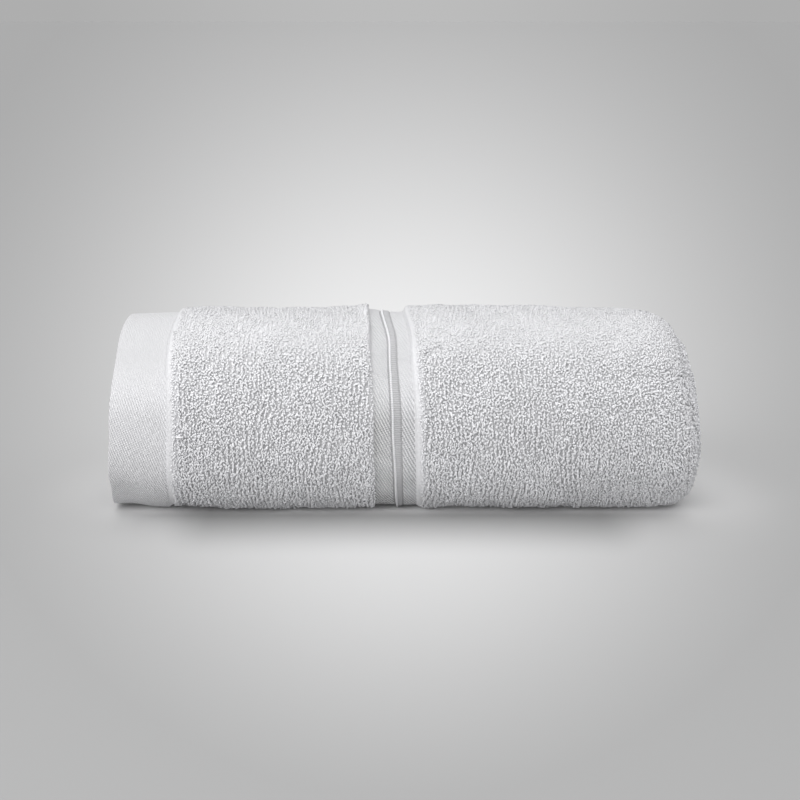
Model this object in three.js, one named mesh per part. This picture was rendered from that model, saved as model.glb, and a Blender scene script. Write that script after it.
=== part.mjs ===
// Rolled face towel, lying on its side. Millimetres, +Z up.
// The towel is folded in three along its length and then rolled up across its width.
// The roll lies along X. Its hem with the flat heading is at -X, its domed folded end at +X,
// and the front, which shows the border, faces -Y.
// It is one closed solid: the wound outer form with its free edge underneath, the sunk
// heading and border with the rib, the domed right end, and the spiral of turns at both ends.
import * as THREE from 'three';
import { mergeVertices } from 'three/addons/utils/BufferGeometryUtils.js';

// ---- the cloth and how it is wound ----
const STACK = 12.5;           // three layers of cloth on each other, one turn of the roll
const PILE_DROP = 3.0;        // heading and border lie this much lower than the pile
const RIB_RISE = 1.0;         // the rib stands this much above the border
const FREE_EDGE_ANGLE = 250;  // where the outer end of the cloth lies: 0 front, 90 top, 270 bottom
const EDGE_ROUND = 1.6;       // rounding of that free edge
const TURN_GROOVE = 3.4;      // depth of the spiral groove between two turns at the ends
const SPIRAL_START = 0.35;    // how much of the spiral's inward run is linear

// ---- section of the roll, half sizes from its axis before the weight flattens it ----
const HALF_FRONT = 50.5;
const HALF_REAR = 52.0;
const HALF_TOP = 52.2;
const HALF_BOTTOM = 51.0;
const SQUARE_TOP = 2.0;       // 2 is an ellipse, more is fuller at the corners
const SQUARE_BOTTOM = 2.22;
const SAG = 3.5;              // how far the underside is flattened on what it lies on

// ---- right end ----
const DOME_START = 89.6;      // the side begins to draw in here
const DOME_DEPTH = 52.0;      // from there to the tip
const DOME_TOP = 3.3;        // rounding exponent at the top and rear: low is a large radius
const DOME_BOTTOM = 6.2;      // and at the foot, where the corner is tight
const DOME_LEAN = 2.0;        // the end face leans: in at the top and out at the foot
const DOME_RINGS = 18;
const DOME_SPACING = 3.2;     // spreads the rings over the rounding
const DOME_GROOVE = 0.40;     // share of the turn groove that shows between the folds here

// ---- left end ----
const FUNNEL = 11.0;          // the inner turns lie this much deeper than the outer one
const FUNNEL_RINGS = 17;
const HEM_MEAN = -135.5;      // mean place of the hem round the roll

// ---- where each zone ends along X, at some places round the roll ----
// round: degrees from the free edge, over the bottom, front, top and rear
// sunk: how much of PILE_DROP the heading keeps there: underneath it has slid down to the surface
const ZONES = [
  { round:   0, hem: -139.6, heading: -112.4, border: -13.2, rib:  -2.9, ribEnd:  0.3, borderEnd:  7.2, sunk: 0.0 },
  { round:  45, hem: -139.0, heading: -111.4, border: -13.0, rib:  -3.0, ribEnd:  0.0, borderEnd:  7.0, sunk: 0.0 },
  { round:  75, hem: -136.6, heading: -109.3, border: -13.1, rib:  -3.6, ribEnd: -0.3, borderEnd:  6.6, sunk: 0.2 },
  { round: 110, hem: -134.4, heading: -107.9, border: -13.3, rib:  -4.8, ribEnd: -0.8, borderEnd:  5.9, sunk: 0.9 },
  { round: 160, hem: -132.2, heading: -108.6, border: -15.1, rib:  -6.4, ribEnd: -3.0, borderEnd:  3.9, sunk: 1.0 },
  { round: 200, hem: -131.4, heading: -106.8, border: -16.6, rib: -10.3, ribEnd: -6.5, borderEnd:  0.5, sunk: 1.0 },
  { round: 290, hem: -132.4, heading: -106.4, border: -16.2, rib:  -8.6, ribEnd: -5.2, borderEnd:  2.4, sunk: 0.9 },
  { round: 360, hem: -132.2, heading: -105.4, border: -14.4, rib:  -6.2, ribEnd: -2.8, borderEnd:  4.6, sunk: 0.8 },
];

// ---- rows along the side: from a zone's end, a distance or a share of the way to the next ----
// drop: how far below the pile, as a share of PILE_DROP; rise: share of RIB_RISE;
// edge: rounding of the hem; heading: the row is part of the heading and takes its sunk share
const SIDE_ROWS = [
  { from: 'hem',       add:  0.0, drop: 1.0,  rise: 0, heading: true, edge: 1.0 },
  { from: 'hem',       add:  1.6, drop: 1.0,  rise: 0, heading: true },
  { from: 'heading',   add: -1.2, drop: 1.0,  rise: 0, heading: true },
  { from: 'heading',   add:  0.8, drop: 0.35, rise: 0, heading: true },
  { from: 'heading',   add:  3.5, drop: 0.0,  rise: 0 },
  { from: 'heading', to: 'border', share: 0.20, drop: 0, rise: 0 },
  { from: 'heading', to: 'border', share: 0.36, drop: 0, rise: 0 },
  { from: 'heading', to: 'border', share: 0.52, drop: 0, rise: 0 },
  { from: 'heading', to: 'border', share: 0.68, drop: 0, rise: 0 },
  { from: 'heading', to: 'border', share: 0.84, drop: 0, rise: 0 },
  { from: 'border',    add: -2.2, drop: 0.0,  rise: 0 },
  { from: 'border',    add: -0.4, drop: 0.4,  rise: 0 },
  { from: 'border',    add:  0.8, drop: 1.0,  rise: 0 },
  { from: 'rib',       add: -0.8, drop: 1.0,  rise: 0 },
  { from: 'rib',       add:  0.6, drop: 1.0,  rise: 1.0 },
  { from: 'ribEnd',    add:  0.4, drop: 1.0,  rise: 0.2 },
  { from: 'borderEnd', add: -0.8, drop: 1.0,  rise: 0 },
  { from: 'borderEnd', add:  0.4, drop: 0.35, rise: 0 },
  { from: 'borderEnd', add:  2.6, drop: 0.0,  rise: 0 },
  { from: 'borderEnd', to: 'dome', share: 0.22, drop: 0, rise: 0 },
  { from: 'borderEnd', to: 'dome', share: 0.44, drop: 0, rise: 0 },
  { from: 'borderEnd', to: 'dome', share: 0.66, drop: 0, rise: 0 },
  { from: 'borderEnd', to: 'dome', share: 0.85, drop: 0, rise: 0 },
];

// ---- soft unevenness of the hand-rolled cloth ----
const WAVES = [
  { height: 0.55, along: 0.021, round: 2, phase: 0.4 },
  { height: 0.40, along: 0.047, round: 3, phase: 2.1 },
  { height: 0.30, along: 0.083, round: 5, phase: 4.0 },
];

const SECTORS = 64;
const AXIS_HEIGHT = HALF_BOTTOM - SAG;
const rad = THREE.MathUtils.degToRad;
const lerp = THREE.MathUtils.lerp;
// soft step from 0 at a to 1 at b, whichever of them is the larger
const smooth = (a, b, v) => THREE.MathUtils.smoothstep((v - a) / (b - a), 0, 1);

// degrees from the free edge of each sector's line: close together at the step it makes
function roundOf(sector) {
  const fine = [0.0, 1.6, 4.5];
  if (sector < fine.length) return fine[sector];
  const last = 356.5;
  return lerp(fine[fine.length - 1], last, (sector - fine.length + 1) / (SECTORS - fine.length));
}

// zone ends at one place round the roll
function zoneAt(round) {
  let k = 0;
  while (k < ZONES.length - 2 && round > ZONES[k + 1].round) k++;
  const a = ZONES[k], b = ZONES[k + 1];
  const t = smooth(0, 1, (round - a.round) / (b.round - a.round));
  const zone = { dome: DOME_START };
  for (const name of ['hem', 'heading', 'border', 'rib', 'ribEnd', 'borderEnd', 'sunk'])
    zone[name] = lerp(a[name], b[name], t);
  return zone;
}

// half size of the unflattened section in one direction
function sectionHalf(angle) {
  const c = Math.cos(angle), s = Math.sin(angle);
  const wide = c > 0 ? HALF_FRONT : HALF_REAR;
  const high = s > 0 ? HALF_TOP : HALF_BOTTOM;
  const n = lerp(SQUARE_BOTTOM, SQUARE_TOP, smooth(-0.5, 0.5, s));
  return Math.pow(Math.pow(Math.abs(c) / wide, n) + Math.pow(Math.abs(s) / high, n), -1 / n);
}

// how far the wound cloth has run inward, 0 at the free edge to 1 a turn further
const spiralRun = (turn) => SPIRAL_START * turn + (1 - SPIRAL_START) * turn * turn;

function wave(x, round) {
  let h = 0;
  for (const w of WAVES) h += w.height * Math.sin(w.along * x + w.round * rad(round) + w.phase);
  return h * smooth(0, 25, round) * smooth(360, 335, round);
}

// outer radius of the pile at one place round the roll
function outerRadius(round, x) {
  const edge = round < 1 ? EDGE_ROUND : 0;
  return sectionHalf(rad(FREE_EDGE_ANGLE + round)) - STACK * spiralRun(round / 360) - edge + wave(x, round);
}

// radius of a row along the side: the heading and border lie lower than the pile
function sideRadius(round, x, row) {
  const kept = row.heading ? zoneAt(round).sunk : 1;
  return outerRadius(round, x) - kept * row.drop * PILE_DROP - (row.edge ?? 0) + row.rise * RIB_RISE;
}

// radius of an end's ring: round in the middle, and only near the rim with the free edge's step
function endRadius(round, rim, share) {
  const core = sectionHalf(rad(FREE_EDGE_ANGLE + round)) - STACK;
  return share * core + (rim - core) * smooth(0.6, 1, share);
}

// depth of the spiral groove that follows the contact of two turns at an end
function turnGroove(round, radius) {
  const turns = (sectionHalf(rad(FREE_EDGE_ANGLE + round)) - radius) / STACK - spiralRun(round / 360);
  return TURN_GROOVE * Math.pow(Math.abs(Math.cos(Math.PI * turns)), 2.5);
}

// one point of the solid from the distance along X, the radius and the place round the roll
function place(x, radius, round) {
  const angle = rad(FREE_EDGE_ANGLE + round);
  const z = AXIS_HEIGHT + radius * Math.sin(angle);
  return new THREE.Vector3(x, -radius * Math.cos(angle), Math.max(z, 0));
}

// ---- the rows of the solid, from the middle of the left end over the side to the right tip ----
const rows = [];
for (let k = 0; k < FUNNEL_RINGS; k++) {
  const share = k / FUNNEL_RINGS;                       // 0 in the middle, 1 at the hem
  rows.push((round) => {
    const hem = zoneAt(round).hem;
    const rim = sideRadius(round, hem, SIDE_ROWS[0]);
    const radius = endRadius(round, rim, share);
    const fade = smooth(0, 0.12, share) * smooth(1, 0.9, share);
    const sink = FUNNEL * (1 - share) + turnGroove(round, radius) * fade;
    return place(HEM_MEAN + (hem - HEM_MEAN) * smooth(0.6, 1, share) + sink, radius, round);
  });
}
for (const row of SIDE_ROWS) {
  rows.push((round) => {
    const zone = zoneAt(round);
    const x = row.to ? lerp(zone[row.from], zone[row.to], row.share) : zone[row.from] + row.add;
    return place(x, sideRadius(round, x, row), round);
  });
}
for (let k = 0; k <= DOME_RINGS; k++) {
  const swing = (Math.PI / 2) * (k / DOME_RINGS);       // 0 on the side, a right angle at the tip
  rows.push((round) => {
    const angle = rad(FREE_EDGE_ANGLE + round);
    const low = smooth(0.6, -0.75, Math.sin(angle)) * smooth(-0.9, 0.4, Math.cos(angle));
    const n = lerp(DOME_TOP, DOME_BOTTOM, low);
    const share = k === DOME_RINGS ? 0 : Math.pow(Math.cos(swing), 2 / DOME_SPACING);
    const out = DOME_DEPTH * Math.pow(1 - Math.pow(share, n), 1 / n);
    const rim = outerRadius(round, DOME_START);
    const radius = endRadius(round, rim, share);
    const fade = smooth(0, 0.15, share) * smooth(0.97, 0.8, share);
    const lean = -DOME_LEAN * Math.sin(angle) * share * Math.pow(out / DOME_DEPTH, 3);
    return place(DOME_START + out + lean - DOME_GROOVE * turnGroove(round, radius) * fade, radius, round);
  });
}

function rollGeometry() {
  const profile = rows.map((_, j) => new THREE.Vector2(j === 0 || j === rows.length - 1 ? 0 : 1, j));
  const geometry = new THREE.LatheGeometry(profile, SECTORS);
  const position = geometry.getAttribute('position');
  for (let i = 0; i <= SECTORS; i++) {
    const round = roundOf(i % SECTORS);
    for (let j = 0; j < rows.length; j++) {
      const p = rows[j](j === 0 || j === rows.length - 1 ? 0 : round);
      position.setXYZ(i * rows.length + j, p.x, p.y, p.z);
    }
  }
  geometry.deleteAttribute('normal');
  geometry.deleteAttribute('uv');
  const merged = mergeVertices(geometry, 1e-3);
  const index = Array.from(merged.getIndex().array);
  const kept = [];
  for (let t = 0; t < index.length; t += 3) {
    const [a, b, c] = [index[t], index[t + 1], index[t + 2]];
    if (a !== b && b !== c && c !== a) kept.push(a, c, b);
  }
  merged.setIndex(kept);
  // the origin is under the middle of the roll, on the surface that it lies on
  merged.computeBoundingBox();
  const box = merged.boundingBox;
  merged.translate(-(box.min.x + box.max.x) / 2, -(box.min.y + box.max.y) / 2, -box.min.z);
  merged.computeVertexNormals();
  return merged;
}

const terry = new THREE.MeshStandardMaterial({ color: 0xe2e2e4, roughness: 0.95, metalness: 0.0 });
const towelRoll = new THREE.Mesh(rollGeometry(), terry);
towelRoll.name = 'towel_roll';

const towel = new THREE.Group();
towel.add(towelRoll);

export default towel;
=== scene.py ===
import math
import bpy
import numpy as np
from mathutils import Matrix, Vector


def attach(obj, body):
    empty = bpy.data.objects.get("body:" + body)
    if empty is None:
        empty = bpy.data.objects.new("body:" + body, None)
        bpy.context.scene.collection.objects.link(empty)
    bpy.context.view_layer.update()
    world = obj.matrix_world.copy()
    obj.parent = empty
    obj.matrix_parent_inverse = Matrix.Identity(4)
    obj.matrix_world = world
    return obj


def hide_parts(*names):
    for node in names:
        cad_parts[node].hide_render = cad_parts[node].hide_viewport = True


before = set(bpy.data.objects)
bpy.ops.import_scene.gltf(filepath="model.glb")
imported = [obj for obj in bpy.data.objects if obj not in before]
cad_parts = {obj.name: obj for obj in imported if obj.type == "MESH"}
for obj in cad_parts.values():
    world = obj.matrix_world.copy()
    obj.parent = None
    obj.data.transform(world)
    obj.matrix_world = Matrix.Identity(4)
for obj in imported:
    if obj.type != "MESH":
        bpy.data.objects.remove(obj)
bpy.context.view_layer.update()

rng = np.random.default_rng(4127)

# ============================================================ sizes, in millimetres
# ---- the cloth and how it is wound, as in the solid ----
STACK = 12.5            # three layers of cloth, one turn of the roll
TURNS = 3               # turns that 500 mm of cloth wind up to
PILE_DROP = 3.0         # heading and border lie this much lower than the pile
FREE_EDGE = 250.0       # where the outer end of the cloth lies
SPIRAL_START = 0.35
HALF_FRONT, HALF_REAR, HALF_TOP, HALF_BOTTOM = 50.5, 52.0, 52.2, 51.0
SQUARE_TOP, SQUARE_BOTTOM = 2.0, 2.22
AXIS_HEIGHT = 47.5
DOME_START, DOME_DEPTH, DOME_TOP, DOME_BOTTOM, DOME_LEAN = 89.6, 52.0, 3.3, 6.2, 2.0
ORIGIN_X, ORIGIN_Y = 1.419, -2.43   # the roll's own axis, seen from the middle of its box
WAVES = ((0.55, 0.021, 2, 0.4), (0.40, 0.047, 3, 2.1), (0.30, 0.083, 5, 4.0))

# ---- depths inside one turn, from the top of the pile ----
BASE = 1.55             # outer face of the terry ground
BACK = 3.2              # its inner face
PRESSED_RISE = 1.05     # where the pile is pressed flat, the ground lies this much nearer to its top
FLAT_THICK = 0.95       # heading and border
HEM_THICK = 1.9         # turned hem at the end of the heading
HEM_WIDTH = 11.0
HEM_CURL = 1.7          # its lower corner lies this much off the floor
SELVEDGE = 4.0          # flat strip without pile along the two long edges
FOLD_DEPTH = 3.7        # rounding of a fold's end
HEM_TO_FOLD = 6.6       # the inner fold lies this much behind the hem
INNER_SHIFT = 3.6       # each inner turn lies this much further to +X
LIP, LIP_WIDTH = 0.70, 3.9  # the smooth strip at an edge of the pile
LAST_EDGE = 111.0       # where the innermost layer's hem ends at the right

# where each zone ends along X, at some places round the roll (degrees from the free edge)
NAMES = ("round", "hem", "heading", "border", "rib", "ribEnd", "borderEnd", "sunk")
ZONES = np.array((
    (0, -139.6, -112.4, -13.2, -2.9, 0.3, 7.2, -0.12),
    (45, -139.0, -111.4, -13.0, -3.0, 0.0, 7.0, -0.15),
    (75, -136.6, -109.3, -13.1, -3.6, -0.3, 6.6, 0.2),
    (110, -134.4, -107.9, -13.3, -4.8, -0.8, 5.9, 0.9),
    (160, -132.2, -108.6, -15.1, -6.4, -3.0, 3.9, 1.0),
    (200, -131.4, -106.8, -16.6, -10.3, -6.5, 0.5, 1.0),
    (290, -132.4, -106.4, -16.2, -8.6, -5.2, 2.4, 0.9),
    (360, -132.2, -105.4, -14.4, -6.2, -2.8, 4.6, 0.8),
))

# columns of the outer panel: from a zone's end, an offset or a share of the way to the next
OUTER_COLUMNS = (
    [("hem", "hem", 0, a) for a in (0.0, 0.15, 0.45, 0.9, 1.8, 3.4)]
    + [("hem", "heading", s, 0) for s in (0.22, 0.32, 0.42, 0.52, 0.62, 0.72, 0.82, 0.90)]
    + [("heading", "heading", 0, a) for a in (-1.5, -0.9, -0.45, -0.1, 0.25, 0.6, 1.0, 1.6, 2.2, 2.8, 3.4, 4.2)]
    + [("heading", "border", s, 0) for s in np.linspace(0.06, 0.965, 25)]
    + [("border", "border", 0, a) for a in (-2.1, -1.5, -1.0, -0.6, -0.2, 0.2, 0.7, 1.3)]
    + [("border", "rib", s, 0) for s in (0.28, 0.42, 0.56, 0.70)]
    + [("rib", "rib", 0, a) for a in (-1.3, -0.9, -0.6, -0.35, -0.1, 0.15, 0.4, 0.65, 0.9, 1.2, 1.6)]
    + [("ribEnd", "ribEnd", 0, a) for a in (-1.2, -0.7, -0.35, 0.0, 0.3, 0.6, 0.9, 1.4)]
    + [("ribEnd", "borderEnd", s, 0) for s in (0.40, 0.58, 0.74)]
    + [("borderEnd", "borderEnd", 0, a) for a in (-1.1, -0.6, -0.25, 0.05, 0.35, 0.7, 1.1, 1.6, 2.2, 2.8, 3.5)]
    + [("borderEnd", "nose", s, 0) for s in np.linspace(0.06, 0.97, 24)]
)
NOSE_COLUMNS, INNER_COLUMNS, FOLD_COLUMNS, MIDDLE_COLUMNS = 42, 22, 11, 22


def smooth(a, b, v):
    t = np.clip((np.asarray(v, float) - a) / (b - a), 0, 1)
    return t * t * (3 - 2 * t)


def bump(v, middle, width):
    return np.exp(-(((np.asarray(v, float) - middle) / width) ** 2))


def section_half(angle):
    c, s = math.cos(angle), math.sin(angle)
    wide = HALF_FRONT if c > 0 else HALF_REAR
    high = HALF_TOP if s > 0 else HALF_BOTTOM
    n = SQUARE_BOTTOM + (SQUARE_TOP - SQUARE_BOTTOM) * float(smooth(-0.5, 0.5, s))
    return (abs(c / wide) ** n + abs(s / high) ** n) ** (-1 / n)


def spiral_run(t):
    return SPIRAL_START * t + (1 - SPIRAL_START) * t * t


def zone_at(psi):
    """Zone ends at one place along the winding, in degrees from the free edge."""
    r = min(psi, 360.0)
    k = int(np.clip(np.searchsorted(ZONES[:, 0], r, side="left") - 1, 0, len(ZONES) - 2))
    t = float(smooth(ZONES[k, 0], ZONES[k + 1, 0], r))
    z = dict(zip(NAMES, ZONES[k] * (1 - t) + ZONES[k + 1] * t))
    if psi > 360:
        for name in NAMES[1:7]:
            z[name] += INNER_SHIFT * (psi - 360) / 360
    return z


# soft unevenness: the solid's three waves, and a finer one of the hand-rolled cloth
FINE = [(0.34 / math.sqrt(24) * 1.4, 2 * math.pi / w * math.cos(a), 2 * math.pi / w * math.sin(a), p)
        for w, a, p in zip(rng.uniform(11, 46, 24), rng.uniform(0, math.pi, 24), rng.uniform(0, 6.28, 24))]


def wave(x, psi):
    """Radial unevenness of the outer turn. It ends at the free edge and one turn further."""
    fade = smooth(0, 25, psi) * smooth(360, 335, psi)
    h = sum(H * np.sin(a * x + r * math.radians(psi) + p) for H, a, r, p in WAVES)
    s = math.radians(psi) * 49
    f = sum(H * np.sin(a * x + b * s + p) for H, a, b, p in FINE)
    return (h + f * smooth(-112, -100, x)) * fade


# creases placed one by one: x, degrees round the roll, length, tilt from the X direction, depth, half width
CREASES = (
    (14.8, 155.0, 12.0, 35.0, 1.30, 1.3),
    (116.0, 139.0, 8.0, 3.0, 0.90, 1.1),
    (100.0, 163.0, 17.0, 33.0, 0.50, 2.2),
    (108.0, 150.0, 13.0, 36.0, 0.38, 1.8),
    (-127.0, 42.0, 24.0, 62.0, 0.20, 3.5),
    (-100.0, 40.0, 26.0, 70.0, 0.30, 4.5),
    (-72.0, 36.0, 22.0, 78.0, 0.50, 5.0),
    (60.0, 38.0, 20.0, 82.0, 0.45, 5.0),
    (-84.0, 200.0, 30.0, 8.0, 0.30, 5.0),
    (46.0, 190.0, 70.0, -7.0, 0.80, 13.0),
    (24.0, 290.0, 38.0, 14.0, 0.55, 5.0),
    (-78.0, 296.0, 46.0, -10.0, 0.50, 6.0),
)


def creases(x, psi):
    h = np.zeros_like(np.asarray(x, float))
    if psi > 358:
        return h
    # the hem's lower corner curls up a little from the floor
    h = h - HEM_CURL * smooth(-118, -133, x) * float(smooth(6, 24, psi) * smooth(86, 62, psi))
    for cx, cpsi, length, tilt, deep, half in CREASES:
        dx, ds = x - cx, math.radians(psi - cpsi) * 49
        a = math.radians(tilt)
        along, across = dx * math.cos(a) + ds * math.sin(a), -dx * math.sin(a) + ds * math.cos(a)
        trough = np.exp(-(across / half) ** 2) - 0.45 * np.exp(-((across - 2.0 * half) / (1.2 * half)) ** 2)
        h = h - deep * trough * np.exp(-(2 * along / length) ** 4)
    return h


def depth_radius(d, half):
    """Radius of a depth below the outermost surface."""
    d = np.asarray(d, float)
    core = half - STACK
    return np.where(d < STACK, half - d, core * (4 * STACK - d) / (3 * STACK))


def dome(angle, run):
    """The right end's outline, (radius, x) from the side to the tip."""
    s, c = math.sin(angle), math.cos(angle)
    low = float(smooth(0.6, -0.75, s) * smooth(-0.9, 0.4, c))
    n = DOME_TOP + (DOME_BOTTOM - DOME_TOP) * low
    out = np.linspace(0, 0.97 * DOME_DEPTH, 110)
    share = (1 - (out / DOME_DEPTH) ** n) ** (1 / n)
    share = np.concatenate((share, np.linspace(share[-1], 0, 90)[1:]))
    out = DOME_DEPTH * (1 - share ** n) ** (1 / n)
    x = DOME_START + out - DOME_LEAN * s * share * (out / DOME_DEPTH) ** 3
    half = section_half(angle)
    core, rim = half - STACK, half - STACK * run
    return share * core + (rim - core) * smooth(0.6, 1, share), x


def pressed_flat(psi):
    """How far the pile of the outer turn is pressed flat: most on top, where hands smoothed it, and a little at the foot."""
    if psi > 360:
        return 0.0
    s = math.sin(math.radians(FREE_EDGE + psi))
    return float(smooth(0.38, 0.93, s)) + 0.30 * float(smooth(-0.55, -0.85, s))


def outline(psi):
    """Envelope of one turn's folded right end in the (x, radius) plane, evenly spaced, with its start on the outer side."""
    angle = math.radians(FREE_EDGE + psi)
    turn = min(int(psi // 360), TURNS - 1)
    t = psi / 360 - turn
    half = section_half(angle)
    top = STACK * (turn + spiral_run(t))
    r_out, r_in = float(depth_radius(top, half)), float(depth_radius(min(top + STACK, 4 * STACK), half))
    inner = 1.0 if turn else float(smooth(0.62, 1.0, t))
    rim_r, rim_x = dome(angle, spiral_run(t) if turn == 0 else 0.0)
    full_r, full_x = dome(angle, 0.0)
    q = 0.5 - 0.5 * np.cos(np.linspace(0, math.pi, 150))
    r = np.concatenate((rim_r, r_out + (r_in - r_out) * q))
    r = np.unique(np.round(r[(r >= r_in) & (r <= r_out)], 7))[::-1]
    x = np.interp(r, full_r[::-1], full_x[::-1])
    if turn == 0:
        x = inner * x + (1 - inner) * np.interp(r, rim_r[::-1], rim_x[::-1])
    q = (r_out - r) / (r_out - r_in)
    ends = 0.33
    a = np.clip((ends - q) / ends, 0, 1)
    b = np.clip((q - 1 + ends) / ends, 0, 1)
    x = x - FOLD_DEPTH * (inner * (1 - np.sqrt(1 - a * a)) + (1 - np.sqrt(1 - b * b)))
    start = (1 - inner) * (DOME_START - 5) + inner * (x[0] - 3)
    px = np.concatenate(([min(start, x[0] - 0.5)], x, [x[-1] - 3]))
    pr = np.concatenate(([r_out], r, [r_in]))
    s = np.concatenate(([0], np.cumsum(np.hypot(np.diff(px), np.diff(pr)))))
    keep = np.concatenate(([True], np.diff(s) > 1e-9))
    s, px, pr = s[keep], px[keep], pr[keep]
    even = np.linspace(0, s[-1], 360)
    return np.interp(even, s, px), np.interp(even, s, pr), r_out, r_in, half, inner, t, turn


def offset(px, pr, by):
    """The outline moved inward, each point along its own inward direction."""
    tx, tr = np.gradient(px), np.gradient(pr)
    size = np.hypot(tx, tr)
    nx, nr = tr / size, -tx / size
    kernel = np.ones(9) / 9
    pad = lambda v: np.convolve(np.concatenate((v[:1].repeat(4), v, v[-1:].repeat(4))), kernel, "valid")
    nx, nr = pad(nx), pad(nr)
    size = np.hypot(nx, nr)
    return px + by * nx / size, pr + by * nr / size


def row(psi, edge):
    """One line of the cloth across the roll, front and back, as (x, radius), with the section's half size and the zone
    ends there.
    """
    px, pr, r_out, r_in, half, inner, t, turn = outline(psi)
    z = zone_at(psi)
    z["nose"] = px[0]
    x = np.array([z[a] + (z[b] - z[a]) * s + add for a, b, s, add in OUTER_COLUMNS])
    heading = smooth(z["heading"] + 1.3, z["heading"] - 1.0, x)
    border = smooth(z["border"] - 0.9, z["border"] + 0.7, x) * smooth(z["borderEnd"] + 0.9, z["borderEnd"] - 0.7, x)
    bare = 1 - float(smooth(SELVEDGE * 0.8, SELVEDGE * 1.3, min(psi, 360 * TURNS - psi) * 0.87))
    pressed = pressed_flat(psi)
    base = BASE - PRESSED_RISE * pressed
    terry = base + (PILE_DROP - 0.5 - base) * bare
    under = 1 - 0.45 * float(smooth(80, 50, psi))
    front = terry + (PILE_DROP * z["sunk"] - terry) * heading
    front = front + (PILE_DROP * under - front) * border
    ridge = 1.15 * bump(x, z["rib"] + 0.40, 0.42) - 0.55 * bump(x, z["rib"] - 0.50, 0.36)
    band = 0.22 * smooth(z["rib"] + 0.9, z["rib"] + 1.4, x) * smooth(z["ribEnd"] + 0.2, z["ribEnd"] - 0.3, x)
    front = front - ridge - band + 0.50 * bump(x, z["ribEnd"] + 0.35, 0.34)
    # short dense pile makes a smooth lip right of the heading and of the border
    for edge_x in (z["heading"], z["borderEnd"]):
        front = front - (LIP - PRESSED_RISE * pressed * 0.8) * smooth(edge_x - 0.2, edge_x + 1.3, x) * smooth(edge_x + LIP_WIDTH + 2.6, edge_x + LIP_WIDTH - 0.6, x) * (1 - bare)
    flat = np.maximum(heading, border)
    thick = (BACK - base) + (FLAT_THICK - (BACK - base)) * flat
    thick = np.where(x < z["hem"] + HEM_WIDTH, HEM_THICK, thick)
    back = front + thick
    # the hem's rounded rim
    rim = np.sqrt(np.clip(1 - (1 - np.clip((x - z["hem"]) / 0.95, 0, 1)) ** 2, 0, 1))
    middle = (front + back) / 2
    front, back = middle + (front - middle) * rim, middle + (back - middle) * rim
    fx, bx = x.copy(), x.copy()
    fr, br = r_out - front, r_out - back
    # the fold at the right end
    fox, fo = offset(px, pr, terry)
    bax, ba = offset(px, pr, BACK)
    pick = np.linspace(0, len(px) - 1, NOSE_COLUMNS).astype(int)
    fx, fr = np.append(fx, fox[pick]), np.append(fr, fo[pick])
    bx, br = np.append(bx, bax[pick]), np.append(br, ba[pick])
    # the inner panel, back to the left
    r_mid, r_low = (r_out + r_in) / 2, r_in + (BASE + BACK) / 2
    bend, thin = (r_mid - r_low) / 2, (BACK - BASE) / 2
    left = z["hem"] + HEM_TO_FOLD + 1.2 * math.sin(math.radians(psi) * 1.3 + 0.6)
    run = np.linspace(0, 1, INNER_COLUMNS + 2)[1:-1]
    run = 1 - (1 - run) ** 1.5
    ix = fx[-1] + (left - fx[-1]) * run
    fx, fr = np.append(fx, ix), np.append(fr, r_in + terry + 0 * ix)
    bx, br = np.append(bx, ix), np.append(br, r_in + BACK + 0 * ix)
    # the fold at the left end
    a = np.linspace(0, math.pi, FOLD_COLUMNS)
    centre = (r_mid + r_low) / 2
    swell = 1.15
    fx = np.append(fx, left - (bend + thin) * swell * np.sin(a))
    fr = np.append(fr, centre - (bend + thin) * np.cos(a))
    bx = np.append(bx, left - (bend - thin) * np.sin(a))
    br = np.append(br, centre - (bend - thin) * np.cos(a))
    # the middle panel, to its hem inside the right fold
    run = np.linspace(0, 1, MIDDLE_COLUMNS + 1)[1:]
    mx = left + (LAST_EDGE - left) * run ** 1.4
    mx = np.concatenate((mx[:-1], [LAST_EDGE - 0.9, LAST_EDGE - 0.4, LAST_EDGE]))
    rim = np.sqrt(np.clip(1 - (1 - np.clip((LAST_EDGE - mx) / 0.9, 0, 1)) ** 2, 0, 1))
    fx, fr = np.append(fx, mx), np.append(fr, r_mid + thin * rim)
    bx, br = np.append(bx, mx), np.append(br, r_mid - thin * rim)
    # the rounded selvedge at the winding's two ends
    cx, cr = (fx + bx) / 2, (fr + br) / 2
    fx, fr = cx + (fx - cx) * edge, cr + (fr - cr) * edge
    bx, br = cx + (bx - cx) * edge, cr + (br - cr) * edge
    # unevenness of the outer turn, and a little of every other one
    if turn == 0:
        for u, v in ((fx, fr), (bx, br)):
            soft = smooth(138, 100, u)
            v += (wave(np.minimum(u, DOME_START), psi) + creases(u, psi)) * soft
    return (fx, fr), (bx, br), half, z


def place(x, r, psi, half):
    """A point of the roll in metres. Its underside lies flat, with the layers above pressed together."""
    angle = math.radians(FREE_EDGE + psi)
    z = AXIS_HEIGHT + r * math.sin(angle)
    d = np.maximum(half - r - 0.25, 0)
    low = d * (1 - d / 110)
    z = np.maximum(z, low)
    return np.stack((x - ORIGIN_X, -r * math.cos(angle) - ORIGIN_Y, z), -1) / 1000


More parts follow.
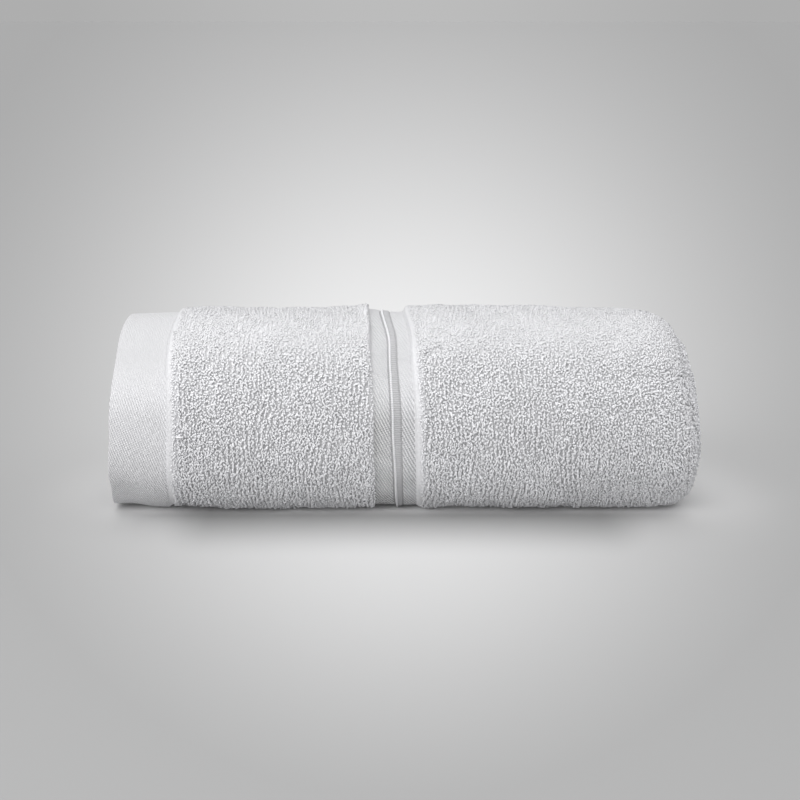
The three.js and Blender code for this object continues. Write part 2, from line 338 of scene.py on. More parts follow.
# ============================================================ the woven cloth
outer_psi = np.arange(5.0, 360.1, 355 / 84)
psis = np.concatenate(([0.0, 0.22, 0.7, 1.5, 3.0], outer_psi, np.arange(370.0, 1064.0, 11.0), [1069.0, 1074.5, 1078.2, 1080.0]))
edges = np.ones(len(psis))
edges[:4] = (0.0, 0.6, 0.92, 1.0)
edges[-3:] = (0.9, 0.6, 0.0)
front, back, zones = [], [], []
for psi, edge in zip(psis, edges):
    f, b, half, z = row(float(psi), float(edge))
    front.append(place(*f, psi, half))
    back.append(place(*b, psi, half))
    zones.append(z)
front, back = np.array(front), np.array(back)
R, C = front.shape[:2]
n_outer = len(OUTER_COLUMNS)
c_nose, c_inner = n_outer, n_outer + NOSE_COLUMNS
c_fold = c_inner + INNER_COLUMNS
c_middle = c_fold + FOLD_COLUMNS

# cloth coordinates in metres: along the towel, and along the winding
mid = (front + back) / 2
u_cloth = np.concatenate((np.zeros((R, 1)), np.cumsum(np.linalg.norm(np.diff(mid, axis=1), axis=2), 1)), 1)
v_cloth = np.concatenate(([0], np.cumsum(np.linalg.norm(np.diff(mid[:, 4:n_outer - 4], axis=0), axis=2).mean(1))))
x_front = front[:, :, 0] * 1000 + ORIGIN_X


def material(name):
    m = bpy.data.materials.new(name)
    m.use_nodes = True
    m.node_tree.nodes.clear()
    return m, m.node_tree


class Nodes:
    """Short calls for building a node tree."""

    def __init__(self, tree):
        self.tree = tree

    def new(self, kind, sets=(), **inputs):
        n = self.tree.nodes.new(kind)
        for name, value in dict(sets).items():
            setattr(n, name, value)
        for name, value in inputs.items():
            self.put(n.inputs[name.replace("_", " ")], value)
        return n

    def put(self, socket, value):
        if isinstance(value, bpy.types.NodeSocket):
            self.tree.links.new(value, socket)
        else:
            socket.default_value = value

    def math(self, op, a, b=None, c=None):
        n = self.tree.nodes.new("ShaderNodeMath")
        n.operation = op
        for i, v in enumerate((a, b, c)):
            if v is not None:
                self.put(n.inputs[i], v)
        return n.outputs[0]

    def ramp(self, fac, low, high, to_low=0.0, to_high=1.0):
        n = self.tree.nodes.new("ShaderNodeMapRange")
        n.interpolation_type = "SMOOTHSTEP"
        for i, v in enumerate((fac, low, high, to_low, to_high)):
            self.put(n.inputs[i], v)
        return n.outputs[0]

    def mix(self, fac, a, b):
        n = self.tree.nodes.new("ShaderNodeMix")
        n.data_type = "RGBA"
        self.put(n.inputs[0], fac)
        self.put(n.inputs[6], a)
        self.put(n.inputs[7], b)
        return n.outputs[2]

    def noise(self, where, scale, detail=2.0, rough=0.5):
        n = self.tree.nodes.new("ShaderNodeTexNoise")
        self.put(n.inputs["Vector"], where)
        n.inputs["Scale"].default_value = scale
        n.inputs["Detail"].default_value = detail
        n.inputs["Roughness"].default_value = rough
        return n.outputs["Fac"]

    def finish(self, colour, height, strength, distance, roughness=0.92, sheen=0.12):
        n = self.tree.nodes.new("ShaderNodeBump")
        n.inputs["Strength"].default_value = strength
        n.inputs["Distance"].default_value = distance
        self.put(n.inputs["Height"], height)
        s = self.tree.nodes.new("ShaderNodeBsdfPrincipled")
        self.put(s.inputs["Base Color"], colour)
        self.put(s.inputs["Roughness"], roughness)
        s.inputs["Specular IOR Level"].default_value = 0.25
        s.inputs["Sheen Weight"].default_value = sheen
        s.inputs["Sheen Roughness"].default_value = 0.6
        self.tree.links.new(n.outputs[0], s.inputs["Normal"])
        o = self.tree.nodes.new("ShaderNodeOutputMaterial")
        self.tree.links.new(s.outputs[0], o.inputs["Surface"])


def grey(v, cool=0.022):
    return (v, v, min(v * (1 + cool), 1.0), 1.0)


def twill(name, along, round_, light, dark, depth, top_shade_tone=0.96, picks=0.3):
    """Flat twill: fine diagonal lines broken up by the picks, in the cloth's own coordinates. along and round_ are lines per mm."""
    m, tree = material(name)
    k = Nodes(tree)
    uv = k.new("ShaderNodeUVMap", {"uv_map": "cloth"})
    sep = k.new("ShaderNodeSeparateXYZ", Vector=uv.outputs[0])
    x, s = k.math("MULTIPLY", sep.outputs[0], 1000.0), k.math("MULTIPLY", sep.outputs[1], 1000.0)
    lump = k.noise(uv.outputs[0], 420.0, 2.0)
    turn = k.math("MULTIPLY", k.math("SUBTRACT", lump, 0.5), 1.6)
    phase = k.math("ADD", k.math("ADD", k.math("MULTIPLY", x, along * 2 * math.pi), k.math("MULTIPLY", s, round_ * 2 * math.pi)), turn)
    line = k.math("SINE", phase)
    pick = k.math("SINE", k.math("ADD", k.math("MULTIPLY", s, 2 * math.pi / 0.92), k.math("MULTIPLY", phase, 0.5)))
    height = k.math("ADD", k.math("MULTIPLY", line, 0.5), k.math("MULTIPLY", pick, picks))
    fibre = k.noise(uv.outputs[0], 2600.0, 2.0, 0.6)
    height = k.math("ADD", height, k.math("MULTIPLY", k.math("SUBTRACT", fibre, 0.5), 0.7))
    cloud = k.noise(uv.outputs[0], 60.0, 3.0)
    shade = k.ramp(height, -0.72, 0.42)
    high = k.new("ShaderNodeSeparateXYZ", Vector=k.new("ShaderNodeTexCoord").outputs["Object"]).outputs[2]
    smooth_shaded_top = k.ramp(high, 0.046, 0.078)     # the weave is smoothest on top, where its lines fade to an even darker grey: painted shade
    top = k.ramp(high, 0.056, 0.080)
    colour = k.mix(shade, grey(dark), grey(light))
    colour = k.mix(k.ramp(cloud, 0.3, 0.7, 0.0, 0.35), colour, grey(light * 0.97))
    # painted shade on top: an even darker grey, then greyer still at the top tone given as an argument, making up for
    # the strong light from above
    colour = k.mix(k.math("MULTIPLY", smooth_shaded_top, 0.85), colour, grey(light * 0.84))
    colour = k.mix(k.math("MULTIPLY", top, 0.97), colour, grey(light * top_shade_tone))
    height = k.math("MULTIPLY", height, k.math("MULTIPLY_ADD", smooth_shaded_top, -0.75, 1.0))
    k.finish(colour, height, 0.85, depth, roughness=k.ramp(shade, 0.0, 1.0, 0.95, 0.82))
    return m


def satin(name, light, dark_share=0.78):
    """The rib's smooth band and cord: threads run side by side round the roll."""
    m, tree = material(name)
    k = Nodes(tree)
    uv = k.new("ShaderNodeUVMap", {"uv_map": "cloth"})
    stretch = k.new("ShaderNodeMapping", Vector=uv.outputs[0], Scale=(1.0, 0.18, 1.0))
    thread = k.noise(stretch.outputs[0], 1700.0, 2.0, 0.6)
    loose = k.noise(uv.outputs[0], 700.0, 2.0, 0.6)
    s = k.math("MULTIPLY", k.new("ShaderNodeSeparateXYZ", Vector=uv.outputs[0]).outputs[1], 2000 * math.pi / 1.05)
    pick = k.math("SINE", k.math("ADD", s, k.math("MULTIPLY", loose, 5.0)))     # the picks cross it, one about every millimetre
    height = k.math("ADD", k.math("MULTIPLY", thread, 0.4), k.math("MULTIPLY", pick, 0.22))
    colour = k.mix(k.ramp(height, 0.0, 0.4), grey(light * dark_share), grey(light))
    k.finish(colour, height, 0.7, 0.0004, roughness=0.78, sheen=0.1)
    return m


def ground(name, light, dark, pressed):
    """The woven ground between the loops."""
    m, tree = material(name)
    k = Nodes(tree)
    at = k.new("ShaderNodeTexCoord").outputs["Object"]
    fine = k.noise(at, 900.0, 3.0, 0.6)
    wide = k.noise(at, 90.0, 2.0)
    colour = k.mix(k.ramp(fine, 0.35, 0.65), grey(dark), grey(light))
    colour = k.mix(k.ramp(wide, 0.35, 0.65, 0.0, 0.3), colour, grey((light + dark) / 2))
    high = k.new("ShaderNodeSeparateXYZ", Vector=at).outputs[2]
    colour = k.mix(k.ramp(high, 0.074, 0.090, 0.0, 0.85), colour, grey(pressed))     # the pressed top, in one set tone: painted light on the terry ground, painted shade on the pile edge, making up for the strong light from above
    k.finish(colour, fine, 0.9, 0.0006)
    return m


def loops_material(name, light, dark, pressed):
    """Cotton loops: matt twisted yarn with small differences from loop to loop."""
    m, tree = material(name)
    k = Nodes(tree)
    at = k.new("ShaderNodeTexCoord").outputs["Object"]
    each = k.noise(at, 480.0, 1.0)
    twist = k.noise(at, 2400.0, 2.0, 0.6)
    wide = k.noise(at, 45.0, 3.0)
    colour = k.mix(k.ramp(each, 0.32, 0.68), grey(dark), grey(light))
    colour = k.mix(k.ramp(wide, 0.35, 0.65, 0.0, 0.22), colour, grey(dark * 0.99))
    high = k.new("ShaderNodeSeparateXYZ", Vector=at).outputs[2]
    colour = k.mix(k.ramp(high, 0.067, 0.091), colour, grey(pressed))     # smooth in tone and a little greyer on top: painted shade making up for the strong light from above
    k.finish(colour, twist, 0.5, 0.0003, roughness=0.95, sheen=0.15)
    return m


# the terry ground is far darker than the loops of the same cotton: painted shade in the gaps between them
cloth_materials = [
    ground("terry_ground_gap_shade", 0.62, 0.50, 0.78),
    twill("heading_twill", 0.86, 0.31, 0.98, 0.60, 0.0007, 0.610, 0.16),
    twill("border_twill_left", 0.700, 0.345, 1.0, 0.36, 0.0010, 0.575),
    twill("border_twill_right", 0.655, 0.335, 0.97, 0.42, 0.0008, 0.615),
    # the rib's band is a much darker copy of its cord: painted shade on the rib's shaded side; its lines are painted
    # shade in the grooves beside the rib
    satin("rib_band_shaded_side", 0.51),
    twill("selvedge_weave", 0.30, 1.05, 0.88, 0.72, 0.0004),
    ground("pile_edge", 0.77, 0.71, 0.64),
    satin("rib_cord", 0.90, 0.86),
    satin("rib_groove_shade", 0.46),
]
pile_material = loops_material("terry_loops", 0.965, 0.885, 0.785)


def closed_sheet(name):
    """Front and back of the cloth, joined along its four edges."""
    rim = np.zeros((R, C), bool)
    rim[0], rim[-1], rim[:, 0], rim[:, -1] = True, True, True, True
    index_front = np.arange(R * C).reshape(R, C)
    index_back = np.where(rim, index_front, 0)
    index_back[~rim] = R * C + np.arange((~rim).sum())
    verts = np.concatenate((np.where(rim[..., None], mid, front).reshape(-1, 3), back[~rim]))
    quads, slots, uv = [], [], []

    def face_slot(i, j, is_front):
        z = zones[i]
        xm = (x_front[i, j] + x_front[i, j + 1]) / 2
        if min(psis[i], 1080 - psis[i]) * 0.87 < SELVEDGE and (j > n_outer or xm > z["heading"]):
            return 5
        if j >= n_outer - 1:
            return 0
        if xm < z["heading"] - 0.25:
            return 1
        if z["border"] + 0.1 < xm < z["borderEnd"] - 0.1:
            # slot 7 is the rib's cord; slot 4 its band and slot 8 the grooves beside it, both in painted shade
            if z["rib"] - 0.80 < xm < z["ribEnd"] + 0.65 and is_front:
                if z["rib"] - 0.08 < xm < z["rib"] + 0.92:
                    return 7
                return 4 if z["rib"] < xm < z["ribEnd"] + 0.12 else 8
            return 2 if xm < z["rib"] else 3
        if is_front and min(abs(xm - z["heading"] - LIP_WIDTH / 2), abs(xm - z["borderEnd"] - LIP_WIDTH / 2)) < LIP_WIDTH / 2 + 1.5:
            return 6
        return 0

    # x is the cloth's own coordinate in the outer panel, so that its weave follows the roll
    ux = np.where(np.arange(C)[None, :] < n_outer, x_front / 1000 + 0.2, u_cloth + 0.2)
    for side, index in ((True, index_front), (False, index_back)):
        for i in range(R - 1):
            for j in range(C - 1):
                q = [(i, j), (i, j + 1), (i + 1, j + 1), (i + 1, j)]
                if side:
                    q = q[::-1]
                quads.append([index[a] for a in q])
                slots.append(face_slot(i, j, side))
                uv.extend((ux[a], v_cloth[a[0]]) for a in q)
    me = bpy.data.meshes.new(name)
    me.from_pydata(verts.tolist(), [], [list(map(int, q)) for q in quads])
    ob = bpy.data.objects.new(name, me)
    bpy.context.scene.collection.objects.link(ob)
    layer = me.uv_layers.new(name="cloth")
    layer.data.foreach_set("uv", np.array(uv, np.float32).ravel())
    for m in cloth_materials:
        me.materials.append(m)
    me.polygons.foreach_set("material_index", np.array(slots, np.int32))
    me.polygons.foreach_set("use_smooth", np.ones(len(quads), bool))
    me.validate()
    me.update()
    return ob


def signed_volume(me):
    me.calc_loop_triangles()
    v = np.zeros(len(me.vertices) * 3)
    me.vertices.foreach_get("co", v)
    v = v.reshape(-1, 3)
    t = np.zeros(len(me.loop_triangles) * 3, np.int32)
    me.loop_triangles.foreach_get("vertices", t)
    a, b, c = v[t.reshape(-1, 3)].transpose(1, 0, 2)
    return float(np.einsum("ij,ij->i", a, np.cross(b, c)).sum() / 6)


towel = closed_sheet("towel_cloth")
if signed_volume(towel.data) < 0:
    towel.data.flip_normals()

# ============================================================ the pile
# normals of the cloth's front, pointing out of the cloth
du, dv = np.gradient(front, axis=1), np.gradient(front, axis=0)
normal = np.cross(du, dv)
normal /= np.maximum(np.linalg.norm(normal, axis=2, keepdims=True), 1e-12)
if (normal * (front - back)).sum(2).mean() < 0:
    normal = -normal

LOOP_SPACING, OUTER_SPACING = 0.83, 0.75     # least distance of two loops, inside the roll and on its outer turn
LOOP_SPAN, LOOP_HEIGHT, YARN = 1.16, 1.16, 0.475
SOFT_NORMAL = 0.14      # a loop's own rounding, softened towards the cloth's by its fuzz
LOOP_TRIANGLES = 12
STREAK_WIDTH, STREAK_LENGTH = 1.05, 7.0     # neighbours in one line of loops stand equally high


def scatter(rows, cols, spacing, keep_share=3.2):
    """Random grid places on a part of the front, enough for loops at that spacing."""
    i0, i1 = rows
    j0, j1 = cols
    a, b = front[i0:i1 - 1, j0:j1 - 1], front[i0:i1 - 1, j0 + 1:j1]
    c, d = front[i0 + 1:i1, j0 + 1:j1], front[i0 + 1:i1, j0:j1 - 1]
    area = (np.linalg.norm(np.cross(b - a, d - a), axis=2) + np.linalg.norm(np.cross(b - c, d - c), axis=2)) / 2
    total = int(area.sum() * 1e6 / spacing ** 2 * keep_share)
    pick = rng.choice(area.size, total, p=(area / area.sum()).ravel())
    i, j = np.unravel_index(pick, area.shape)
    i, j = i + i0 + rng.random(total), j + j0 + rng.random(total)
    return i, j


def at_grid(grid, i, j):
    i0, j0 = np.minimum(i.astype(int), R - 2), np.minimum(j.astype(int), C - 2)
    s, t = (i - i0)[:, None], (j - j0)[:, None]
    return (grid[i0, j0] * (1 - s) * (1 - t) + grid[i0, j0 + 1] * (1 - s) * t
            + grid[i0 + 1, j0] * s * (1 - t) + grid[i0 + 1, j0 + 1] * s * t)


def thin_out(points, least):
    """Keeps the points that are no nearer than least to one kept before."""
    cells, kept = {}, []
    key = np.floor(points / least).astype(int)
    pts = points.tolist()
    near = [(a, b, c) for a in (-1, 0, 1) for b in (-1, 0, 1) for c in (-1, 0, 1)]
    limit = least * least
    for n, (x, y, z) in enumerate(key.tolist()):
        px, py, pz = pts[n]
        free = True
        for a, b, c in near:
            for m in cells.get((x + a, y + b, z + c), ()):
                qx, qy, qz = pts[m]
                if (px - qx) ** 2 + (py - qy) ** 2 + (pz - qz) ** 2 < limit:
                    free = False
                    break
            if not free:
                break
        if free:
            cells.setdefault((x, y, z), []).append(n)
            kept.append(n)
    return np.array(kept, int)


# each loop: four points along an arch, as (share of the span, share of the height, yarn size)
ARCH = ((-0.50, -0.35, 0.0), (-0.30, 0.86, 1.0), (0.30, 0.86, 1.0), (0.50, -0.35, 0.0))


def loop_mesh(name, p, n, a, span, height, yarn, lean):
    """Arches of yarn standing on points p with normals n, spread along a, as one mesh."""
    count = len(p)
    b = np.cross(n, a)
    sides = np.array([math.radians(v) for v in (30, 150, 270)])
    rings = []
    for s, h, size in ARCH:
        mid_point = p + a * (s * span)[:, None] + n * (h * height)[:, None] + lean * max(h, 0.0)
        if size == 0:
            rings.append(mid_point[:, None])
            continue
        slope = math.pi / 2 * (s / 0.5)     # the yarn runs up, over and down
        out = n * math.cos(slope * 0.8) + a * math.sin(slope * 0.8)
        ring = [mid_point + (out * math.sin(t) + b * math.cos(t)) * (yarn * size)[:, None] for t in sides]
        rings.append(np.stack(ring, 1))
    verts = np.concatenate(rings, 1)
    per = verts.shape[1]
    faces = []
    for k in range(3):
        k1 = (k + 1) % 3
        faces += [(0, 1 + k1, 1 + k), (1 + k, 1 + k1, 4 + k1), (1 + k, 4 + k1, 4 + k), (per - 1, 4 + k, 4 + k1)]
    faces = np.array(faces)
    ways = np.repeat(n[:, None], per, 1)
    for g in (0, 1):
        ring = verts[:, 1 + 3 * g:4 + 3 * g]
        out = ring - ring.mean(1, keepdims=True)
        out /= np.maximum(np.linalg.norm(out, axis=2, keepdims=True), 1e-12)
        ways[:, 1 + 3 * g:4 + 3 * g] = out * (1 - SOFT_NORMAL) + n[:, None] * SOFT_NORMAL
    ways /= np.maximum(np.linalg.norm(ways, axis=2, keepdims=True), 1e-12)
    verts[..., 2] = np.maximum(verts[..., 2], 0.00005)
    tri = (faces[None] + (np.arange(count) * per)[:, None, None]).reshape(-1, 3)
    verts = verts.reshape(-1, 3)
    me = bpy.data.meshes.new(name)
    me.vertices.add(len(verts))
    me.vertices.foreach_set("co", verts.astype(np.float32).ravel())
    me.loops.add(tri.size)
    me.loops.foreach_set("vertex_index", tri.astype(np.int32).ravel())
    me.polygons.add(len(tri))
    me.polygons.foreach_set("loop_start", np.arange(0, tri.size, 3, dtype=np.int32))
    me.polygons.foreach_set("use_smooth", np.ones(len(tri), bool))
    me.update(calc_edges=True)
    me.validate()
    me.materials.append(pile_material)
    if signed_volume(me) < 0:
        me.flip_normals()
    me.normals_split_custom_set_from_vertices(ways.reshape(-1, 3))
    ob = bpy.data.objects.new(name, me)
    bpy.context.scene.collection.objects.link(ob)
    return ob


last_outer = int(np.searchsorted(psis, 360.5))
first_pile = int(np.searchsorted(psis, 4.4))
spots = [
    scatter((first_pile, last_outer), (0, c_inner - 2), OUTER_SPACING),          # the outer turn and its fold
    scatter((last_outer - 1, R - 3), (c_nose, c_inner), LOOP_SPACING),          # the inner turns' folds at the right end
    scatter((first_pile, R - 3), (c_fold - 2, c_middle + 4), LOOP_SPACING),     # the inner fold at the left end
]
i, j = np.concatenate([s[0] for s in spots]), np.concatenate([s[1] for s in spots])
outer = np.arange(len(i)) < len(spots[0][0])
p, n = at_grid(front, i, j), at_grid(normal, i, j)
n /= np.linalg.norm(n, axis=1, keepdims=True)
psi_at = np.interp(i, np.arange(R), psis)
x_at = p[:, 0] * 1000 + ORIGIN_X
zone_values = {name: np.interp(i, np.arange(R), [z[name] for z in zones]) for name in ("heading", "border", "borderEnd")}
in_outer = j < n_outer
lip = LIP_WIDTH * rng.uniform(0.62, 1.0, len(x_at))
bare = in_outer & ((x_at < zone_values["heading"] + lip) | ((x_at > zone_values["border"] - 0.5) & (x_at < zone_values["borderEnd"] + lip)))
hidden = (n[:, 2] < -0.90) & (p[:, 2] < 0.0028)
p, n, i, j, psi_at, x_at, outer = (v[~(bare | hidden)] for v in (p, n, i, j, psi_at, x_at, outer))
order = rng.permutation(len(p))
p, n, i, j, psi_at, x_at, outer = (v[order] for v in (p, n, i, j, psi_at, x_at, outer))
kept = np.concatenate([np.flatnonzero(part)[thin_out(p[part], spacing / 1000)]
                       for part, spacing in ((outer, OUTER_SPACING), (~outer, LOOP_SPACING))])
p, n, i, j, psi_at, x_at, outer = (v[kept] for v in (p, n, i, j, psi_at, x_at, outer))
print("loops", len(p), "triangles", LOOP_TRIANGLES * len(p))

# the loops draw together into uneven lines round the roll
rows_ = np.arange(R)
u_at = at_grid(u_cloth[..., None], i, j)[:, 0] * 1000
along = np.where(j < n_outer, x_at, np.interp(i, rows_, x_front[:, n_outer - 1] - u_cloth[:, n_outer - 1] * 1000) + u_at)
line = along + 1.6 * np.sin(psi_at / 23.0 + x_at / 31.0) + 0.7 * np.sin(psi_at / 7.1 + x_at / 9.0)
column = np.floor(line / STREAK_WIDTH).astype(int)
piece = np.floor(psi_at * 0.87 / STREAK_LENGTH + (column * 0.7548) % 1).astype(int)
streak = rng.normal(0, 1, (997, 211)).clip(-1.6, 1.6)[column % 997, piece % 211]
patch = 0.5 + 0.5 * np.sin(x_at / 6.3 + 1.7 * np.sin(psi_at / 11.0))
pull = -0.44 * np.sin(line * 2 * math.pi / 2.15 + 1.5 * np.sin(x_at / 3.7)) * (0.3 + 0.7 * patch) * (j < n_outer)
p[:, 0] += pull / 1000

# the loops stand across the winding more often than along it
count = len(p)
turn = at_grid(dv, i, j)
turn -= n * (turn * n).sum(1, keepdims=True)
turn /= np.maximum(np.linalg.norm(turn, axis=1, keepdims=True), 1e-12)
side = np.cross(n, turn)
upright = smooth(0.6, -0.5, np.sin(np.radians(FREE_EDGE + psi_at)))
angle = rng.normal(0, 1, count) * np.radians(44 - 24 * upright)
across = turn * np.cos(angle)[:, None] + side * np.sin(angle)[:, None]
finer = np.where(outer, OUTER_SPACING / LOOP_SPACING, 1.0)
span = (rng.normal(LOOP_SPAN, 0.28, count) + 0.35 * (upright - 0.5)).clip(0.7, 2.2) * finer / 1000
height = (rng.normal(LOOP_HEIGHT, 0.34, count) + 0.28 * streak).clip(0.35, 1.95) / 1000
yarn = rng.normal(YARN, 0.055, count).clip(0.35, 0.60) * finer / 1000
lean_angle = rng.uniform(0, 2 * math.pi, count)
lean = (turn * np.cos(lean_angle)[:, None] + side * np.sin(lean_angle)[:, None]) * (rng.random(count) * 0.75 / 1000)[:, None]
zone_values = {name: np.interp(i, np.arange(R), [z[name] for z in zones]) for name in ("heading", "border", "borderEnd")}
along_x = np.zeros((count, 3))
along_x[:, 0] = 1.0
# at an edge of the pile the loops are short and lean out over the flat weave
for edge_x, way, reach in ((zone_values["heading"], -1, 8.5), (zone_values["border"], 1, 1.8), (zone_values["borderEnd"], -1, 6.0)):
    far = (x_at - edge_x) * -way
    near = np.where((j < n_outer) & (far > 0), np.clip(1 - far / reach, 0, 1), 0)
    height *= 1 - 0.55 * near
    yarn *= 1 - 0.12 * near
    lean = lean * (1 - near)[:, None] + along_x * (way * near * 0.45 / 1000)[:, None]

# on top the pile is pressed flat and smooth
top = np.interp(psi_at, np.arange(361), [pressed_flat(a) for a in range(361)]) * (psi_at <= 360)
height *= 1 - 0.86 * top
yarn *= 1 + 0.22 * top

# a pulled loop lies over the pile beside the heading
snag = int(np.argmin(np.where(j < n_outer, (x_at + 102.3) ** 2 + ((psi_at - 105.4) * 0.87) ** 2, 1e9)))
across[snag], span[snag], height[snag], yarn[snag], lean[snag] = (1, 0, 0), 0.0046, 0.0024, 0.00062, 0

towel_parts = [towel]
y_at, z_at = p[:, 1], p[:, 2]
groups = {
    "pile_left_front": (j < n_outer) & (x_at < -5) & (psi_at < 180),
    "pile_left_rear": (j < n_outer) & (x_at < -5) & (psi_at >= 180),
    "pile_right_front": (j < n_outer) & (x_at >= -5) & (psi_at < 180),
    "pile_right_rear": (j < n_outer) & (x_at >= -5) & (psi_at >= 180),
    "pile_right_end": (j >= n_outer) & (j < c_inner),
    "pile_left_end": j >= c_inner,
}
for name, mask in groups.items():
    if mask.sum():
        towel_parts.append(loop_mesh(name, p[mask], n[mask], across[mask], span[mask], height[mask], yarn[mask], lean[mask]))
        print(name, int(mask.sum()) * LOOP_TRIANGLES)

for ob in towel_parts:
    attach(ob, "root")
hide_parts("towel_roll")

# ============================================================ floor, light and camera
FLOOR_TONE, BACKDROP_TONE, SHADE = 0.930, 1.06, 0.64
CAMERA = Vector((-0.0026, -0.67615, 0.22987))
AIM = Vector((-0.0026, 0.0, 0.0494))


def plane(name, corners):
    me = bpy.data.meshes.new(name)
    me.from_pydata(corners, [], [(0, 1, 2, 3)])
    ob = bpy.data.objects.new(name, me)
    bpy.context.scene.collection.objects.link(ob)
    return ob


# one soft pool of light on the floor, in the floor's own metres: it lies round the object and widens to the rear
POOL_MIDDLE, POOL_BASE, POOL_GAIN, FAR_TONE = 0.235, 0.356, 0.447, 0.40
POOL_WIDTH, POOL_LENGTH = (0.1455, 0.222), (0.586, 0.853)     # at y = 0, and more for each metre to the rear


def pool_of_light(k, where, bright):
    x, y, z = k.new("ShaderNodeSeparateXYZ", Vector=where).outputs
    y = k.math("MAXIMUM", y, -0.40)
    aside = k.math("DIVIDE", x, k.math("MULTIPLY_ADD", y, POOL_WIDTH[1], POOL_WIDTH[0]))
    along = k.math("DIVIDE", k.math("SUBTRACT", y, POOL_MIDDLE), k.math("MULTIPLY_ADD", y, POOL_LENGTH[1], POOL_LENGTH[0]))
    ring = k.math("ADD", k.math("POWER", k.math("ABSOLUTE", aside), 2.0), k.math("POWER", k.math("ABSOLUTE", along), 2.0))
    fall = k.math("EXPONENT", k.math("MULTIPLY", ring, -1.0))
    tone = k.math("MAXIMUM", k.math("MULTIPLY_ADD", fall, POOL_GAIN * bright, POOL_BASE * bright), FAR_TONE * bright)
    colour = k.tree.nodes.new("ShaderNodeCombineColor")
    for socket in colour.inputs[:3]:
        k.put(socket, tone)
    return colour.outputs[0]


floor = plane("studio_floor", [(-70, -70, 0), (70, -70, 0), (70, 70, 0), (-70, 70, 0)])
m, tree = material("pale_floor")
k = Nodes(tree)
where = k.new("ShaderNodeTexCoord").outputs["Object"]
pale = pool_of_light(k, where, FLOOR_TONE)
# the soft shade close to what lies on it
x, y, z = k.new("ShaderNodeSeparateXYZ", Vector=where).outputs
beyond_x = k.math("MULTIPLY", k.math("MAXIMUM", k.math("SUBTRACT", k.math("ABSOLUTE", x), 0.090), 0.0), 2.0)
beyond_y = k.math("MAXIMUM", k.math("SUBTRACT", k.math("ABSOLUTE", y), 0.030), 0.0)
far = k.math("SQRT", k.math("ADD", k.math("POWER", beyond_x, 2.0), k.math("POWER", beyond_y, 2.0)))
shade = k.ramp(far, 0.0, 0.055, SHADE, 1.0)
# and a little light between it and the open floor at the two ends
end_x, end_y = k.math("SUBTRACT", k.math("ABSOLUTE", x), 0.148), k.math("SUBTRACT", y, 0.012)
end_ring = k.math("ADD", k.math("POWER", k.math("ABSOLUTE", k.math("DIVIDE", end_x, 0.026)), 2.0), k.math("POWER", k.math("ABSOLUTE", k.math("DIVIDE", end_y, 0.045)), 2.0))
near_y, near_x = k.math("ABSOLUTE", y), k.math("ABSOLUTE", x)
foot = k.math("MULTIPLY", k.ramp(near_y, 0.0165, 0.0295, 0.80, 0.0), k.ramp(near_x, 0.118, 0.142, 1.0, 0.0))     # painted light: lighter right at its foot
shade = k.math("ADD", shade, foot)
# painted light: a small lighter patch at the two front corners of its foot
corner_ring = k.math("ADD", k.math("POWER", k.math("DIVIDE", k.math("SUBTRACT", near_x, 0.134), 0.013), 2.0), k.math("POWER", k.math("ABSOLUTE", k.math("DIVIDE", k.math("ADD", y, 0.022), 0.013)), 2.0))
shade = k.math("ADD", shade, k.math("MULTIPLY", k.math("EXPONENT", k.math("MULTIPLY", corner_ring, -1.0)), 0.17))
shade = k.math("ADD", shade, k.math("MULTIPLY", k.math("EXPONENT", k.math("MULTIPLY", end_ring, -1.0)), k.ramp(x, 0.0, 0.1, 0.20, 0.33)))
both = k.tree.nodes.new("ShaderNodeVectorMath")
both.operation = "SCALE"
k.put(both.inputs[0], pale)
k.put(both.inputs["Scale"], shade)
matt = k.new("ShaderNodeBsdfDiffuse", Color=both.outputs[0])
k.new("ShaderNodeOutputMaterial", Surface=matt.outputs[0])
floor.data.materials.append(m)
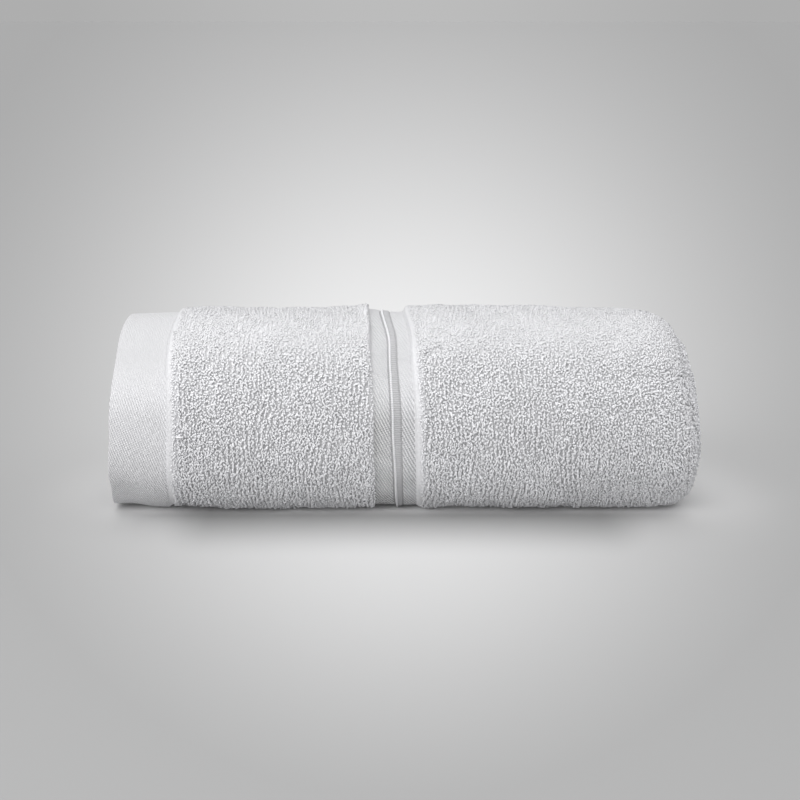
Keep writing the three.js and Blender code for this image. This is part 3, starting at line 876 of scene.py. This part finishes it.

# a far backdrop all round, in the tone of the far floor: it glows though it is no lamp, painted light that carries the
# painted pool of light on
ring_points = [(60 * math.cos(a), 60 * math.sin(a)) for a in np.linspace(0, 2 * math.pi, 97)[:-1]]
me = bpy.data.meshes.new("studio_backdrop")
me.from_pydata([(x, y, z) for z in (-0.5, 42.0) for x, y in ring_points], [],
               [(a, (a + 1) % 96, 96 + (a + 1) % 96, 96 + a) for a in range(96)])
backdrop = bpy.data.objects.new("studio_backdrop", me)
bpy.context.scene.collection.objects.link(backdrop)
backdrop.visible_diffuse = backdrop.visible_glossy = backdrop.visible_shadow = backdrop.visible_transmission = False
m, tree = material("backdrop_painted_glow")
k = Nodes(tree)
glow = k.new("ShaderNodeEmission", Color=pool_of_light(k, k.new("ShaderNodeTexCoord").outputs["Object"], BACKDROP_TONE), Strength=1.0)
k.new("ShaderNodeOutputMaterial", Surface=glow.outputs[0])
me.materials.append(m)

world = bpy.data.worlds.new("studio")
bpy.context.scene.world = world
world.use_nodes = True
world.node_tree.nodes["Background"].inputs["Color"].default_value = (0.990, 0.990, 1.0, 1.0)
world.node_tree.nodes["Background"].inputs["Strength"].default_value = 0.435


def sun(name, strength, spread, azimuth, elevation):
    """A soft lamp far away. Azimuth 0 is the front, 90 the right."""
    lamp = bpy.data.lights.new(name, "SUN")
    lamp.energy = strength
    lamp.angle = math.radians(spread)
    ob = bpy.data.objects.new(name, lamp)
    bpy.context.scene.collection.objects.link(ob)
    a, e = math.radians(azimuth), math.radians(elevation)
    to = Vector((math.sin(a) * math.cos(e), -math.cos(a) * math.cos(e), math.sin(e)))
    ob.rotation_euler = to.to_track_quat("Z", "Y").to_euler()
    return ob


sun("softbox_ceiling", 0.46, 179, 0, 89)
sun("softbox_top", 1.26, 80, -8, 76)
sun("softbox_front", 0.69, 70, -8, 42)

# a softbox nearer by, at the left, so that the light falls off a little to the right
lamp = bpy.data.lights.new("softbox_left", "AREA")
lamp.shape, lamp.size, lamp.size_y, lamp.energy = "RECTANGLE", 0.6, 0.6, 3.2
softbox = bpy.data.objects.new("softbox_left", lamp)
softbox.location = (-0.55, -0.85, 0.62)
softbox.rotation_euler = (Vector(softbox.location) - Vector((0, 0, 0.05))).to_track_quat("Z", "Y").to_euler()
bpy.context.scene.collection.objects.link(softbox)

camera_data = bpy.data.cameras.new("camera")
camera_data.lens = 64.76
camera_data.sensor_width = 36.0
camera_data.clip_start, camera_data.clip_end = 0.01, 200
camera = bpy.data.objects.new("camera", camera_data)
camera.location = CAMERA
camera.rotation_euler = (AIM - CAMERA).to_track_quat("-Z", "Y").to_euler()
bpy.context.scene.collection.objects.link(camera)
bpy.context.scene.camera = camera
bpy.context.scene.view_settings.view_transform = "Standard"
bpy.context.scene.view_settings.look = "None"

bpy.context.view_layer.update()
